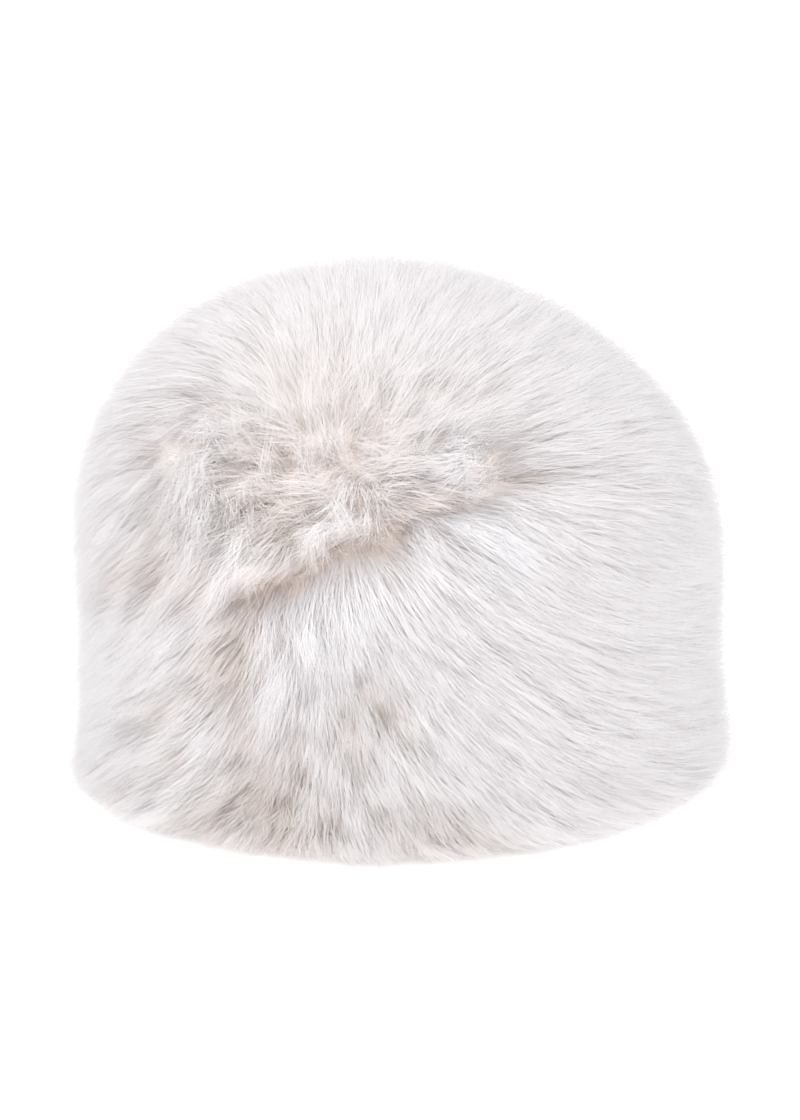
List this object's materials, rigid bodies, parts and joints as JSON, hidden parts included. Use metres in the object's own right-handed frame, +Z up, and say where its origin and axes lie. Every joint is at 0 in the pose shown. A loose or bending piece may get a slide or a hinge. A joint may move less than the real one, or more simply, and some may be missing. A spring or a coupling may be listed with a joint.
{
  "type": "telpek fur hat",
  "caption": "Domed cream fur hat: long-pile band and crown on a cloth backing, open at the rim for a head.",
  "frame": {"origin": "on the surface that the rim rests on, at the middle of the head opening", "axes": "+Z up through the crown; -Y towards the band's joining seam; +X to the side where the band stands tallest"},
  "size_m": [0.2432, 0.268, 0.1871],
  "materials": {
    "pile": "long soft cream pile, paler at the tips",
    "backing": "plain knitted backing cloth, matt"
  },
  "bodies": {
    "root": {"band_wall": "backing", "crown_wall": "backing", "band_fur": "pile", "crown_fur": "pile"}
  },
  "joints": []
}
